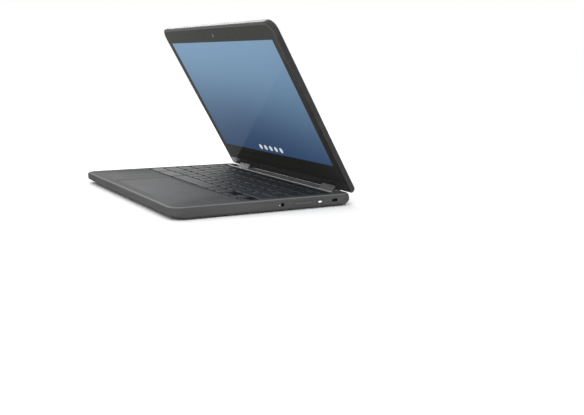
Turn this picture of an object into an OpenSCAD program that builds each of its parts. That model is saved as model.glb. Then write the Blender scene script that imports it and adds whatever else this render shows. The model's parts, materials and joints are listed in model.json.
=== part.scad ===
// Convertible laptop computer: a base and one lid joined by two twin-axis hinges.
// The model stands on its rubber feet, the user sits at -Y, and X runs to the user's right.

/* [Body] */
// Width of the base and of the lid
body_w = 290; // [280:1:300]
// Depth of the base, front to back
base_d = 208; // [206:1:210]
// Thickness of the base without its feet
base_t = 12.4; // [12.2:0.1:13.4]
// Radius of the outer corners, seen from above
corner_r = 13; // [11:0.5:15]
// Height of the rubber feet
foot_h = 1.0; // [0.7:0.1:1.0]

/* [Lid] */
// Thickness of the lid
lid_t = 7.2; // [7.0:0.1:8.0]
// Height of the lid, from its hinge axis to its top edge
lid_h = 201; // [199:1:203]
// Width of the soft rim round the lid
rim_w = 3.4; // [3:0.2:4.4]
// Width of the part of the display that lights up
screen_w = 266; // [256:1:270]
// Height of the part of the display that lights up
screen_h = 150; // [144:1:152]
// Lower edge of the lit part, above the hinge axis
screen_s = 31; // [28:1:34]

/* [Hinges] */
// Opening of the lid at rest, 0 closed and 360 folded right back
lid_angle = 60; // [0:5:360]
// Space between base and lid when closed, and when folded right back
closed_gap = 1.3; // [1.3:0.1:1.8]
// Lower hinge axis, forward of the rear edge of the base
axis_inset = 6.8; // [6.6:0.1:7]
// Width of a hinge barrel
barrel_w = 28; // [26:1:30]
// Middle of a hinge barrel, from the middle of the laptop
barrel_x = 103; // [101:1:105]
// Radius of a hinge barrel at its lower axis
barrel_r_low = 4.8; // [4.4:0.1:4.8]
// Radius of a hinge barrel at its upper axis
barrel_r_top = 3.9; // [3.6:0.1:3.9]
// Radius of the hinge shafts
shaft_r = 1.5; // [1.4:0.05:1.5]

/* [Keyboard] */
// Distance between the letter keys, side to side
key_pitch = 19; // [18.6:0.1:19]
// Distance between the key rows
row_pitch = 18.75; // [18.5:0.05:18.9]
// Gap between two key caps
key_gap = 2.6; // [2.4:0.1:3]
// Travel of a key
key_travel = 1.3; // [1:0.1:1.3]

/* [Touchpad] */
// Width of the touchpad
pad_w = 108; // [100:1:110]
// Depth of the touchpad
pad_d = 62.6; // [58:0.2:63]

/* [Hidden] */

eps = 0.02;
round_fn = 48;

// heights in the base, from the surface that the laptop stands on
cover_z = foot_h;
seam_z = cover_z + 2.5;
deck_z = foot_h + base_t;
deck_under = deck_z - 2.4;
well_z = deck_z - 1.0;
board_z = seam_z + 0.15;
board_t = 0.8;
port_z = foot_h + 6.25;

// the base runs from front_y to rear_y
front_y = -102;
rear_y = front_y + base_d;

// hinge axes: A in the base, B in the lid, both along X
axis_gap = base_t / 2 + lid_t / 2 + closed_gap;
axis_a_y = rear_y - axis_inset;
axis_a_z = foot_h + base_t / 2;
link_angle = lid_angle / 2;
axis_b_y = axis_a_y + axis_gap * sin(link_angle);
axis_b_z = axis_a_z + axis_gap * cos(link_angle);
// the own frame has its origin under the middle of the resting laptop
rear_reach = axis_b_y + barrel_r_top;
centre_y = (rear_reach + front_y) / 2;

wall_side = 2.2;
wall_rear = 3.4;
barrel_gap = 0.4;
notch_in = barrel_x - barrel_w / 2 - barrel_gap;
notch_out = barrel_x + barrel_w / 2 + barrel_gap;
notch_y = axis_a_y - barrel_r_low - barrel_gap;
liner_t = 1.2;
ridge_y = 88.4;
ridge_x = 128.5;

// keyboard: key widths of each row in millimetres, left to right
board_x = 137;
row_y0 = -12;
key_top = deck_z - 0.2;
key_t = 1.4;
key_r = 1.8;
top_row_d = 10.2;
plate_top = deck_z - 4.3;
function filled(widths) = concat(widths, [2 * board_x - total(widths, 0)]);
function total(v, i) = i >= len(v) ? 0 : v[i] + total(v, i + 1);
function left_of(v, k) = k <= 0 ? -board_x : left_of(v, k - 1) + v[k - 1];
function same(n) = [for (i = [1:n]) key_pitch];
row_ctrl = [31, 46, 103, 19, 19, 18.6, 18.6, 18.8];
row_lower = filled(concat([37], same(10)));
row_home = filled(concat([27], same(11)));
row_upper = filled(concat([23], same(12)));
row_number = filled(same(13));
row_top = [for (i = [1:13]) 2 * board_x / 13];
function row_y(r) = row_y0 + row_pitch * r;
top_row_y = row_y(4) + row_pitch / 2 + top_row_d / 2 + 0.6;
well_front = row_y(0) - row_pitch / 2 - 2;
well_back = top_row_y + top_row_d / 2 + 2;

pad_rear = -28;
pad_top = deck_z - 0.25;
pad_t = 1.4;
pad_axis_y = pad_rear + 1.5;
pad_axis_z = deck_under - 0.3;

// side openings on the right: distance from the middle of the base, front to back
light_y = 15.2;
jack_y = 18.7;
rocker_y = 43.4;
rocker_l = 22.4;
power_y = 63.2;
lock_y = 81.4;
jack_r = 1.8;

// sockets on the left
usb_c_y = 66;
hdmi_y = 45;
usb_a_y = 22;
card_y = 0;

screw_spots = [[-133, -86], [-66, -86], [66, -86], [133, -86], [-64, -33], [64, -33],
               [-133, 86], [0, 94], [133, 86]];
screw_r = 1.0;
foot_front_y = -86;

// gear train in each hinge: four equal gears between the two axes
teeth = 10;
gear_rp = axis_gap / 6;
gear_m = 2 * gear_rp / teeth;
gear_tip = gear_rp + 0.68 * gear_m;
gear_root = gear_rp - 1.0 * gear_m;
gear_x = barrel_x - barrel_w / 2 + 3.2;
gear_w = 4.0;
idler_pin_r = 0.65;
idler_bore_r = 0.7;
plate_w = 1.0;
// the idlers turn opposite ways as the link swings, and mesh half a tooth apart
half_step = 180 / teeth;
phase_low = half_step - link_angle;
phase_top = link_angle;

// lid: area inside the rim, lower edge of the glass, and the camera's place
inner_w = body_w - 2 * rim_w;
glass_s = 9.2;
glass_top = lid_h - rim_w - 0.2;
camera_s = lid_h - 12;
badge_u = 117;
badge_s = 176;

function arc(cx, cy, r, a0, a1, n) =
  [for (i = [0:n]) let (a = a0 + (a1 - a0) * i / n) [cx + r * cos(a), cy + r * sin(a)]];
function rounded(w, d, r, n) = concat(
  arc(w / 2 - r, d / 2 - r, r, 0, 90, n), arc(r - w / 2, d / 2 - r, r, 90, 180, n),
  arc(r - w / 2, r - d / 2, r, 180, 270, n), arc(w / 2 - r, r - d / 2, r, 270, 360, n));
// outline of two circles on the line from (0, 0) to (0, gap), joined by their tangents
function capsule(r0, r1, gap, n) =
  let (lean = asin((r0 - r1) / gap))
  concat(arc(0, gap, r1, lean, 180 - lean, n), arc(0, 0, r0, 180 - lean, 360 + lean, n));

module box(x0, x1, y0, y1, z0, z1) {
  translate([x0, y0, z0]) cube([x1 - x0, y1 - y0, z1 - z0]);
}

module prism(points, z0, z1) {
  translate([0, 0, z0]) linear_extrude(z1 - z0) polygon(points);
}

// a cylinder along X between two x values
module rod(r, x0, x1, y, z) {
  translate([x0, y, z]) rotate([0, 90, 0]) cylinder(r = r, h = x1 - x0, $fn = round_fn);
}

// a rod with a hole along it
module tube(r, hole_r, x0, x1, y, z) {
  difference() {
    rod(r, x0, x1, y, z);
    rod(hole_r, x0 - 1, x1 + 1, y, z);
  }
}

// an outline in the YZ plane, extruded along X
module side_prism(points, x0, x1) {
  translate([x0, 0, 0]) rotate([90, 0, 90]) linear_extrude(x1 - x0) polygon(points);
}

// places the parts of the base in the own frame
module in_base() {
  translate([0, -centre_y, 0]) children();
}

// local frame of the links: origin on axis A, +Z towards axis B
module in_link() {
  in_base() translate([0, axis_a_y, axis_a_z]) rotate([-link_angle, 0, 0]) children();
}

// local frame of the lid: origin on axis B, +Y up the lid, +Z out of the display
module in_lid() {
  in_base() translate([0, axis_b_y, axis_b_z]) rotate([180 - lid_angle, 0, 0]) children();
}

// a rounded outline in the base, inset from the sides, the front and the rear
function base_outline(side, front, rear, r, n) =
  [for (p = rounded(body_w - 2 * side, base_d - front - rear, r, n))
    [p[0], p[1] + (front_y + rear_y + front - rear) / 2]];

// one thin layer of the base's shell
module layer(z, side, front, rear) {
  prism(base_outline(side, front, rear, max(corner_r - side, 2), 9), z, z + eps);
}

// ---- base shells ----

module deck_block() {
  hull() {
    layer(seam_z + 0.1, 1.0, 3.4, 1.2);
    layer(seam_z + 1.8, 0.6, 0.6, 0.3);
    layer(foot_h + base_t / 2, 0.1, 0.1, 0);
    layer(deck_z - 2.2, 0, 0, 1.1);
    layer(deck_z - 1.0, 0.45, 0.45, 2.3);
    layer(deck_z - 0.35, 1.5, 1.5, 3.4);
    layer(deck_z - eps, 3.1, 3.1, 4.8);
  }
}

module key_hole(x, y, w, d) {
  translate([x, y]) polygon(rounded(w - key_gap + 0.9, d - key_gap + 0.9, 2, 2));
}

module row_holes(widths, y, d, first, last) {
  for (k = [first:last]) key_hole(left_of(widths, k) + widths[k] / 2, y, widths[k], d);
}

module all_key_holes() {
  row_holes(row_ctrl, row_y(0), row_pitch, 0, 4);
  row_holes(row_ctrl, row_y(0) - row_pitch / 4, row_pitch / 2, 5, 5);
  row_holes(row_ctrl, row_y(0), row_pitch, 6, 6);
  row_holes(row_ctrl, row_y(0) - row_pitch / 4, row_pitch / 2, 7, 7);
  row_holes(row_lower, row_y(1), row_pitch, 0, len(row_lower) - 1);
  row_holes(row_home, row_y(2), row_pitch, 0, len(row_home) - 1);
  row_holes(row_upper, row_y(3), row_pitch, 0, len(row_upper) - 1);
  row_holes(row_number, row_y(4), row_pitch, 0, len(row_number) - 1);
  row_holes(row_top, top_row_y, top_row_d + key_gap - 1.4, 0, len(row_top) - 1);
}

// pocket behind the ridge of the deck, where the chin of the lid comes down
module hinge_pocket() {
  box(-ridge_x, ridge_x, ridge_y, axis_a_y - 1, deck_z - 1.2, deck_z + 1);
}

module hinge_notches() {
  for (side = [-1, 1])
    box(side * barrel_x - barrel_w / 2 - barrel_gap, side * barrel_x + barrel_w / 2 + barrel_gap,
        notch_y, base_d, 0, deck_z + 1);
}

// walls that close the base round each hinge notch
module notch_liners() {
  y0 = notch_y - liner_t;
  y1 = rear_y - 2;
  for (side = [-1, 1], edge = [notch_in - liner_t, notch_out])
    mirror([side > 0 ? 0 : 1, 0, 0])
      box(edge, edge + liner_t, y0, y1, seam_z + 0.1, deck_under + 0.5);
  for (side = [-1, 1])
    mirror([side > 0 ? 0 : 1, 0, 0])
      box(notch_in - 0.5, notch_out + 0.5, y0, notch_y, seam_z + 0.1, deck_under + 0.5);
}

// openings through the right wall, on a plane that faces +X
module right_openings() {
  x0 = body_w / 2 - wall_side - 1;
  x1 = body_w / 2 + 1;
  translate([0, light_y, port_z - 0.3]) side_prism(arc(0, 0, 0.7, 0, 330, 11), x0, x1);
  translate([0, jack_y, port_z]) side_prism(arc(0, 0, jack_r + 0.2, 0, 345, 23), x0, x1);
  translate([0, rocker_y, port_z]) side_prism(rounded(rocker_l + 0.9, 3.5, 1.7, 5), x0, x1);
  translate([0, power_y, port_z]) side_prism(rounded(9.3, 3.7, 1.8, 5), x0, x1);
  translate([0, lock_y, port_z + 0.3]) side_prism(rounded(7, 3.2, 0.6, 2), x0, x1);
}

module left_openings() {
  x0 = -body_w / 2 - 1;
  x1 = -body_w / 2 + wall_side + 1;
  translate([0, usb_c_y, port_z]) side_prism(rounded(9.6, 3.7, 1.8, 5), x0, x1);
  translate([0, hdmi_y, port_z]) side_prism(rounded(15.4, 6.0, 0.8, 2), x0, x1);
  translate([0, usb_a_y, port_z]) side_prism(rounded(13.7, 6.3, 0.4, 2), x0, x1);
  translate([0, card_y, port_z]) side_prism(rounded(13.4, 2.2, 0.5, 2), x0, x1);
}

module screw_bosses() {
  for (p = screw_spots) translate([p[0], p[1], seam_z + 0.1])
    cylinder(r = 2.5, h = deck_under - seam_z, $fn = round_fn);
}

module screw_bores() {
  for (p = screw_spots) translate([p[0], p[1], seam_z - 1])
    cylinder(r = screw_r + 0.04, h = 7.5, $fn = round_fn);
}

module keyboard_deck() {
  color("#5c5c5d") in_base() difference() {
    union() {
      difference() {
        deck_block();
        prism(base_outline(wall_side, wall_side, wall_rear, corner_r - wall_side, 6),
              seam_z + 2, deck_under);
        prism(base_outline(wall_side, 5.4, wall_rear, corner_r - wall_side, 6),
              0, seam_z + 2.1);
      }
      notch_liners();
      screw_bosses();
    }
    hinge_pocket();
    hinge_notches();
    box(-board_x, board_x, well_front, well_back, well_z, deck_z + 1);
    translate([0, 0, deck_under - 1]) linear_extrude(3) all_key_holes();
    translate([0, pad_rear - pad_d / 2, deck_under - 1])
      linear_extrude(4) polygon(rounded(pad_w + 0.7, pad_d + 0.7, 2.6, 4));
    for (side = [-1, 1])
      rod(shaft_r + 0.3, side * notch_in - 3, side * notch_in + 3, axis_a_y, axis_a_z);
    right_openings();
    left_openings();
    screw_bores();
  }
}

module grille_slots() {
  for (side = [-1, 1], i = [0:7])
    translate([side * 130, -78 + 4 * i, cover_z + 0.6]) cube([11, 1.5, 3], center = true);
}

module bottom_cover() {
  color("#3e3e40") in_base() difference() {
    union() {
      difference() {
        hull() {
          layer(cover_z, 4.4, 10.6, 4.8);
          layer(cover_z + 0.4, 3.2, 9.4, 3.6);
          layer(seam_z - eps, 1.1, 3.6, 1.4);
        }
        prism(base_outline(4.2, 10, 4.8, corner_r - 4.2, 6), cover_z + 1.2, seam_z + 1);
      }
      for (p = screw_spots) translate([p[0], p[1], cover_z + 0.5])
        cylinder(r = 3.4, h = seam_z - cover_z - 0.5, $fn = round_fn);
    }
    for (p = screw_spots) translate([p[0], p[1], cover_z - 1]) {
      cylinder(r = 2.3, h = 1.9, $fn = round_fn);
      cylinder(r = screw_r + 0.15, h = 6, $fn = round_fn);
    }
    hinge_notches();
    grille_slots();
  }
}

module rubber_feet() {
  color("#2a2a2b") in_base() {
    for (side = [-1, 1]) {
      prism([for (p = rounded(34, 7, 3.4, 8)) [p[0] + side * 108, p[1] + foot_front_y]], 0, cover_z);
      prism([for (p = rounded(48, 6, 2.9, 8)) [p[0] + side * 50, p[1] + 88]], 0, cover_z);
    }
  }
}

module cover_screws() {
  color("#8a8a8c") in_base() for (p = screw_spots) translate([p[0], p[1], cover_z + 0.3]) {
    difference() {
      union() {
        cylinder(r = 2.1, h = 0.6, $fn = round_fn);
        cylinder(r = screw_r, h = 6.0, $fn = round_fn);
      }
      for (turn = [0, 90]) rotate([0, 0, turn]) cube([2.2, 0.5, 0.7], center = true);
    }
  }
}

// ---- under the keyboard ----

module keyboard_backplate() {
  color("#9aa0a6") in_base() difference() {
    box(-130.3, 130.3, well_front + 0.4, well_back - 1.2, plate_top - 0.6, plate_top);
    box(127.2, 131, jack_y - 3.2, jack_y + 3.4, plate_top - 1, plate_top + 1);
    for (x = [-96:32:96], r = [0:3])
      translate([x, row_y(r) + row_pitch / 2, plate_top - 2]) cylinder(r = 1.3, h = 4, $fn = 24);
  }
}

module dome(x, y) {
  translate([x, y, plate_top + 0.1]) cylinder(r1 = 2.4, r2 = 1.5, h = 0.5, $fn = 24);
}

module row_domes(widths, y, first, last) {
  for (k = [first:last]) dome(left_of(widths, k) + widths[k] / 2, y);
}

module key_dome_sheet() {
  color("#b9b9b4") in_base() {
    difference() {
      box(-130.3, 130.3, well_front + 0.4, well_back - 1.2, plate_top, plate_top + 0.15);
      box(127.2, 131, jack_y - 3.2, jack_y + 3.4, plate_top - 1, plate_top + 1);
    }
    row_domes(row_ctrl, row_y(0), 0, 4);
    row_domes(row_ctrl, row_y(0) - row_pitch / 4, 5, 7);
    row_domes(row_ctrl, row_y(0) + row_pitch / 4, 6, 6);
    row_domes(row_lower, row_y(1), 0, len(row_lower) - 1);
    row_domes(row_home, row_y(2), 0, len(row_home) - 1);
    row_domes(row_upper, row_y(3), 0, len(row_upper) - 1);
    row_domes(row_number, row_y(4), 0, len(row_number) - 1);
    row_domes(row_top, top_row_y, 0, len(row_top) - 1);
  }
}

// ---- keys ----

module key_cap(x, y, w, d) {
  translate([x, y, 0]) {
    prism(rounded(w - key_gap, d - key_gap, key_r, 4), key_top - key_t, key_top - 0.35);
    prism(rounded(w - key_gap - 0.7, d - key_gap - 0.7, key_r - 0.3, 4),
          key_top - 0.35, key_top);
    translate([0, 0, key_top - key_t - 0.4]) cylinder(r = 1.5, h = 0.8, $fn = 24);
  }
}

module key_row(widths, y, d, first, last) {
  color("#3a3a3b") in_base() for (k = [first:last])
    key_cap(left_of(widths, k) + widths[k] / 2, y, widths[k], d);
}

module keys_function_row() {
  key_row(row_top, top_row_y, top_row_d + key_gap - 1.4, 0, len(row_top) - 1);
}
module keys_number_row() key_row(row_number, row_y(4), row_pitch, 0, 12);
module key_backspace() key_row(row_number, row_y(4), row_pitch, 13, 13);
module key_tab() key_row(row_upper, row_y(3), row_pitch, 0, 0);
module keys_upper_row() key_row(row_upper, row_y(3), row_pitch, 1, 13);
module key_search() key_row(row_home, row_y(2), row_pitch, 0, 0);
module keys_home_row() key_row(row_home, row_y(2), row_pitch, 1, 11);
module key_enter() key_row(row_home, row_y(2), row_pitch, 12, 12);
module key_shift_left() key_row(row_lower, row_y(1), row_pitch, 0, 0);
module keys_lower_row() key_row(row_lower, row_y(1), row_pitch, 1, 10);
module key_shift_right() key_row(row_lower, row_y(1), row_pitch, 11, 11);
module key_ctrl_left() key_row(row_ctrl, row_y(0), row_pitch, 0, 0);
module key_alt_left() key_row(row_ctrl, row_y(0), row_pitch, 1, 1);
module key_space() key_row(row_ctrl, row_y(0), row_pitch, 2, 2);
module keys_alt_ctrl_right() key_row(row_ctrl, row_y(0), row_pitch, 3, 4);

// the four arrow keys are half keys; up and down share one hole
module arrow_key(k, half) {
  d = row_pitch / 2 + (k == 6 ? 1.1 : 0);
  shift = k == 6 ? row_pitch / 4 - 0.55 : row_pitch / 4;
  key_row(row_ctrl, row_y(0) + half * shift, d, k, k);
}
module key_arrow_left() arrow_key(5, -1);
module key_arrow_up() arrow_key(6, 1);
module key_arrow_down() arrow_key(6, -1);
module key_arrow_right() arrow_key(7, -1);

// ---- electronics in the base ----

module mainboard() {
  color("#1f5a3c") in_base() {
    box(-141.5, -8, -27, 79, board_z, board_z + board_t);
    box(-80, -52, 22, 50, board_z + board_t, board_z + board_t + 1.1);
    for (i = [0:3]) box(-44, -34, 14 + 13 * i, 24 + 13 * i, board_z + board_t, board_z + 1.8);
    box(-100, -90, -18, -6, board_z + board_t, board_z + 2.2);
    box(-30, -14, 62, 68, board_z + board_t, board_z + 2.4);
    box(-12, -8.5, -10, 14, board_z + board_t, board_z + 2.2);
  }
}

module heat_spreader() {
  color("#c08a5a") in_base() {
    box(-98, -46, 4, 66, board_z + 2.6, board_z + 3.2);
    box(-79, -53, 23, 49, board_z + board_t + 1.1, board_z + 2.6);
  }
}

module battery_pack() {
  color("#262628") in_base() {
    for (i = [0:3])
      box(-118 + 59.2 * i, -60.6 + 59.2 * i, -82.2, -41, cover_z + 1.5, deck_z - 5.6);
    box(-118, 118, -41, -39, cover_z + 1.5, cover_z + 4.5);
    box(-14, 14, -39, -36.5, cover_z + 1.5, cover_z + 3.5);
  }
}

module speakers() {
  color("#303032") in_base() for (side = [-1, 1]) difference() {
    prism([for (p = rounded(17, 36, 3, 3)) [p[0] + side * 130.5, p[1] - 63.6]],
          cover_z + 1.4, cover_z + 6);
    translate([side * 130.5, -63.6, cover_z]) cylinder(r = 6, h = 2.4, $fn = round_fn);
  }
}

module audio_jack() {
  color("#1c1c1d") in_base() difference() {
    box(body_w / 2 - 17.3, body_w / 2 - wall_side - 0.1, jack_y - 2.5, jack_y + 3,
        board_z + board_t, port_z + 2.5);
    rod(jack_r, body_w / 2 - 16.3, body_w / 2, jack_y, port_z);
  }
}

module side_button_board() {
  color("#1f5a3c") in_base() {
    box(120, body_w / 2 - wall_side - 0.6, 8, 74, board_z, board_z + board_t);
    for (y = [rocker_y - 7, rocker_y + 7, power_y])
      box(133.4, 136.4, y - 2, y + 2, board_z + board_t, port_z + 1.3);
    box(122, 126, 20, 40, board_z + board_t, board_z + 2.0);
  }
}

module side_board_ribbon() {
  color("#d8d4c8") in_base() {
    box(-8.4, 122, -4, 8, board_z + 2.25, board_z + 2.45);
    box(-12, -8.4, -4, 8, board_z + 2.2, board_z + 2.45);
    box(122, 126, -4, 30, board_z + 2.0, board_z + 2.45);
  }
}

// an open metal shell with a tongue inside, mouth towards -X
module socket_shell(y, w, h, r, depth, tongue_w, tongue_h) {
  x0 = -body_w / 2 + 0.9;
  translate([0, y, port_z]) {
    difference() {
      side_prism(rounded(w, h, r, 4), x0, x0 + depth);
      side_prism(rounded(w - 0.7, h - 0.7, max(r - 0.35, 0.1), 4), x0 - 1, x0 + depth - 1.2);
    }
    box(x0 + 1, x0 + depth - 1, -tongue_w / 2, tongue_w / 2, -tongue_h / 2, tongue_h / 2);
  }
}

module usb_c_port() {
  color("#b4b4b6") in_base() {
    socket_shell(usb_c_y, 9.0, 3.2, 1.55, 9, 6.6, 0.7);
    box(-body_w / 2 + 3.4, -body_w / 2 + 9.5, usb_c_y - 4, usb_c_y + 4,
        board_z + board_t, port_z - 1.6);
  }
}

module usb_a_port() {
  color("#b4b4b6") in_base() socket_shell(usb_a_y, 13.1, 5.5, 0.3, 13.4, 11.2, 1.8);
}

module hdmi_port() {
  color("#b4b4b6") in_base() socket_shell(hdmi_y, 14.8, 5.4, 0.6, 11.5, 11.6, 1.2);
}

module card_slot() {
  color("#b4b4b6") in_base() {
    x0 = -body_w / 2 + wall_side + 0.1;
    difference() {
      box(x0, x0 + 15, card_y - 7, card_y + 7, port_z - 1.2, port_z + 1.2);
      box(x0 - 1, x0 + 14, card_y - 6.2, card_y + 6.2, port_z - 0.6, port_z + 0.6);
    }
    box(x0 + 2, x0 + 13, card_y - 5, card_y + 5, board_z + board_t, port_z - 1.2);
  }
}

module wifi_card() {
  color("#2c3c5c") in_base() {
    box(-40, -14, -24, -2, board_z + 1.6, board_z + 2.2);
    box(-36, -20, -20, -8, board_z + 2.2, board_z + 3.4);
    for (x = [-38, -17]) box(x, x + 2, -14, -12, board_z + board_t, board_z + 1.6);
  }
}

module lock_slot_insert() {
  color("#8e8e90") in_base() difference() {
    x1 = body_w / 2 - wall_side - 0.1;
    box(x1 - 1.6, x1, lock_y - 5.5, lock_y + 3.5, port_z - 2.6, port_z + 3.2);
    translate([0, lock_y, port_z + 0.3]) side_prism(rounded(7, 3.2, 0.6, 2), x1 - 3, x1 + 1);
  }
}

module status_light() {
  color("#e8e8e0") in_base()
    rod(0.5, body_w / 2 - 3.6, body_w / 2 - 0.6, light_y, port_z - 0.3);
}

module display_cable_base() {
  color("#303033") in_base() {
    box(-84, -76, 60, 88, board_z + 2.0, board_z + 2.3);
    box(-84, -76, 56, 60, board_z + board_t, board_z + 2.3);
    box(-84, -76, 87.7, 88, board_z + 2.3, axis_a_z - 0.2);
    box(-84, -76, 88, 96, axis_a_z - 0.5, axis_a_z - 0.2);
  }
}

// ---- moving parts of the base ----

module touchpad_support() {
  color("#8c9096") in_base() {
    y1 = pad_rear + 3;
    y0 = pad_rear - pad_d - 3;
    difference() {
      box(-60, 60, y0, y1, deck_under - 1.6, deck_under - 0.8);
      for (x = [-30, 30])
        translate([x, pad_rear - pad_d / 2, deck_under - 3]) cylinder(r = 14, h = 4, $fn = 64);
    }
    for (side = [-1, 1])
      box(side * 58.5 - 1.5, side * 58.5 + 1.5, y0, y1, deck_under - 0.8, deck_under);
    translate([0, pad_rear - pad_d + 6, deck_under - 0.8])
      cylinder(r = 2, h = 0.7, $fn = round_fn);
  }
}

module touchpad() {
  color("#656566") in_base() {
    prism([for (p = rounded(pad_w, pad_d, 2.2, 5)) [p[0], p[1] + pad_rear - pad_d / 2]],
          pad_top - pad_t, pad_top);
    for (x = [-40, 40]) {
      box(x - 5, x + 5, pad_rear - 2, pad_rear - 0.6, pad_axis_z - 0.2, pad_top - pad_t);
      box(x - 5, x + 5, pad_rear - 0.6, pad_rear + 2.6, pad_axis_z - 0.2, pad_axis_z + 0.2);
    }
  }
}

module power_button() {
  color("#6a6a6c") in_base() translate([0, power_y, port_z]) {
    side_prism(rounded(8.6, 3.0, 1.45, 6), body_w / 2 - 2.8, body_w / 2 - 0.1);
    box(body_w / 2 - 3.8, body_w / 2 - 2.8, -5.4, 5.4, -1.4, 1.4);
    box(137.4, body_w / 2 - 3.8, -1, 1, -0.8, 0.8);
  }
}

module volume_rocker() {
  color("#626264") in_base() translate([0, rocker_y, port_z]) {
    side_prism(rounded(rocker_l, 2.8, 1.3, 6), body_w / 2 - 2.8, body_w / 2 - 0.1);
    box(body_w / 2 - 3.8, body_w / 2 - 2.8, -12, 12, -1.3, 1.3);
    for (side = [-1, 1])
      box(137.2, body_w / 2 - 3.8, side * 7 - 1, side * 7 + 1, -0.8, 0.8);
  }
}

// ---- hinges ----

// tooth flank of a 20 degree involute gear: half the tooth's angle at radius r
function involute(a) = tan(a) * 180 / PI - a;
function half_tooth(r) =
  90 / teeth * 0.86 + involute(20) - involute(acos(min(1, gear_rp * cos(20) / r)));
function tooth(k) =
  let (mid = 360 / teeth * k, base_r = gear_rp * cos(20),
       radii = [base_r, (base_r + gear_tip) / 2, gear_tip])
  concat(
    [polar(gear_root, mid - half_tooth(base_r))],
    [for (r = radii) polar(r, mid - half_tooth(r))],
    [for (i = [2:-1:0]) polar(radii[i], mid + half_tooth(radii[i]))],
    [polar(gear_root, mid + half_tooth(base_r))]);
function polar(r, a) = [r * cos(a), r * sin(a)];
function gear_points() = [for (k = [0:teeth - 1], p = tooth(k)) p];

// a gear on the link line, its middle at height h, turned by phase
module gear(side, h, phase) {
  translate([side * (gear_x + gear_w / 2), 0, h]) rotate([phase, 0, 0])
    side_prism(gear_points(), -gear_w / 2, gear_w / 2);
}

module hinge_barrel(side) {
  color("#4a4a4c") in_link() translate([side * barrel_x, 0, 0]) difference() {
    side_prism(capsule(barrel_r_low, barrel_r_top, axis_gap, 16), -barrel_w / 2, barrel_w / 2);
    side_prism(capsule(barrel_r_low - 0.9, barrel_r_top - 0.9, axis_gap, 12),
               1.2 - barrel_w / 2, barrel_w / 2 - 1.2);
    for (h = [0, axis_gap])
      rod(shaft_r + 0.05, side > 0 ? -barrel_w / 2 - 1 : 0, side > 0 ? 0 : barrel_w / 2 + 1, 0, h);
  }
}
module hinge_barrel_left() hinge_barrel(-1);
module hinge_barrel_right() hinge_barrel(1);

module link_plate(x) {
  difference() {
    side_prism(capsule(3.5, 2.7, axis_gap, 10), x, x + plate_w);
    for (h = [0, axis_gap]) rod(shaft_r + 0.05, x - 1, x + plate_w + 1, 0, h);
  }
}

module hinge_link_plates() {
  color("#a8a8aa") in_link() for (side = [-1, 1]) {
    near = side > 0 ? gear_x - 0.2 - plate_w : -gear_x + 0.2;
    far = side > 0 ? gear_x + gear_w + 0.2 : -gear_x - gear_w - 0.2 - plate_w;
    link_plate(near);
    link_plate(far);
    for (h = [axis_gap / 3, axis_gap * 2 / 3])
      rod(idler_pin_r, min(near, far) + plate_w / 2, max(near, far) + plate_w / 2, 0, h);
  }
}

module idler(side, h, phase) {
  difference() {
    gear(side, h, phase);
    rod(idler_bore_r, -barrel_x - barrel_w, barrel_x + barrel_w, 0, h);
  }
}

module idler_gears_lower() {
  color("#c9a24a") in_link() for (side = [-1, 1]) idler(side, axis_gap / 3, phase_low);
}
module idler_gears_upper() {
  color("#c9a24a") in_link() for (side = [-1, 1]) idler(side, axis_gap * 2 / 3, phase_top);
}

// a hinge shaft with its friction washers and end nut; the children are its foot and ear
module hinge_shaft(side) {
  x_ear = notch_in - 4.4;
  x_end = gear_x + gear_w + 8;
  mirror([side > 0 ? 0 : 1, 0, 0]) {
    rod(shaft_r, x_ear + 1, x_end, 0, 0);
    for (i = [0:2])
      rod(2.6, gear_x + gear_w + 1.7 + 1.1 * i, gear_x + gear_w + 2.6 + 1.1 * i, 0, 0);
    translate([x_end - 2, 0, 0]) rotate([0, 90, 0]) cylinder(r = 2.3, h = 1.6, $fn = 6);
    children();
  }
}

module foot_holes(x0, x1, y, z) {
  for (x = [x0 + 4, (x0 + x1) / 2, x1 - 4])
    translate([x, y, z]) cylinder(r = 1.1, h = 4, center = true, $fn = 32);
}

module hinge_base_brackets() {
  color("#7d7d80") for (side = [-1, 1]) {
    in_base() translate([0, axis_a_y, axis_a_z]) hinge_shaft(side) {
      x1 = notch_in - 1.9;
      x0 = x1 - 28;
      box(x1 - 2.5, x1, -4.2, 1.6, -1.8, 2.6);
      difference() {
        box(x0, x1, -11, 1.6, 2.0, 3.2);
        foot_holes(x0, x1 - 2, -7.4, 2.6);
      }
    }
    in_base() translate([0, axis_a_y, axis_a_z]) gear(side, 0, 0);
  }
}

module hinge_lid_brackets() {
  color("#7d7d80") for (side = [-1, 1]) in_lid() {
    hinge_shaft(side) {
      x1 = notch_in - 1.9;
      x0 = x1 - 30;
      box(x1 - 2.5, x1, -1.5, 7.3, -1.9, 1.7);
      difference() {
        box(x0, x1, 2.5, 24.6, -1.9, -0.9);
        foot_holes(x0, x1 - 2, 20, -1.4);
      }
    }
    gear(side, 0, half_step);
  }
}

// ---- lid ----

module lid_layer(z, inset) {
  w = body_w - 2 * inset;
  r = max(corner_r - inset, 2);
  top = lid_h - inset;
  points = concat(arc(w / 2 - r, top - r, r, 0, 90, 9), arc(r - w / 2, top - r, r, 90, 180, 9),
                  [[-w / 2, 0], [w / 2, 0]]);
  prism(points, z, z + eps);
}

module lid_block() {
  hull() {
    lid_layer(-lid_t / 2, 2.6);
    lid_layer(-lid_t / 2 + 0.5, 1.2);
    lid_layer(-lid_t / 2 + 1.8, 0.15);
    lid_layer(0, 0);
    lid_layer(lid_t / 2 - 1.0, 0.2);
    lid_layer(lid_t / 2 - 0.3, 0.8);
    lid_layer(lid_t / 2 - eps, 1.8);
    rod(lid_t / 2, 3.2 - body_w / 2, body_w / 2 - 3.2, 0, 0);
    rod(lid_t / 2 - 1.6, 0.8 - body_w / 2, body_w / 2 - 0.8, 0, 0);
  }
}

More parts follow.
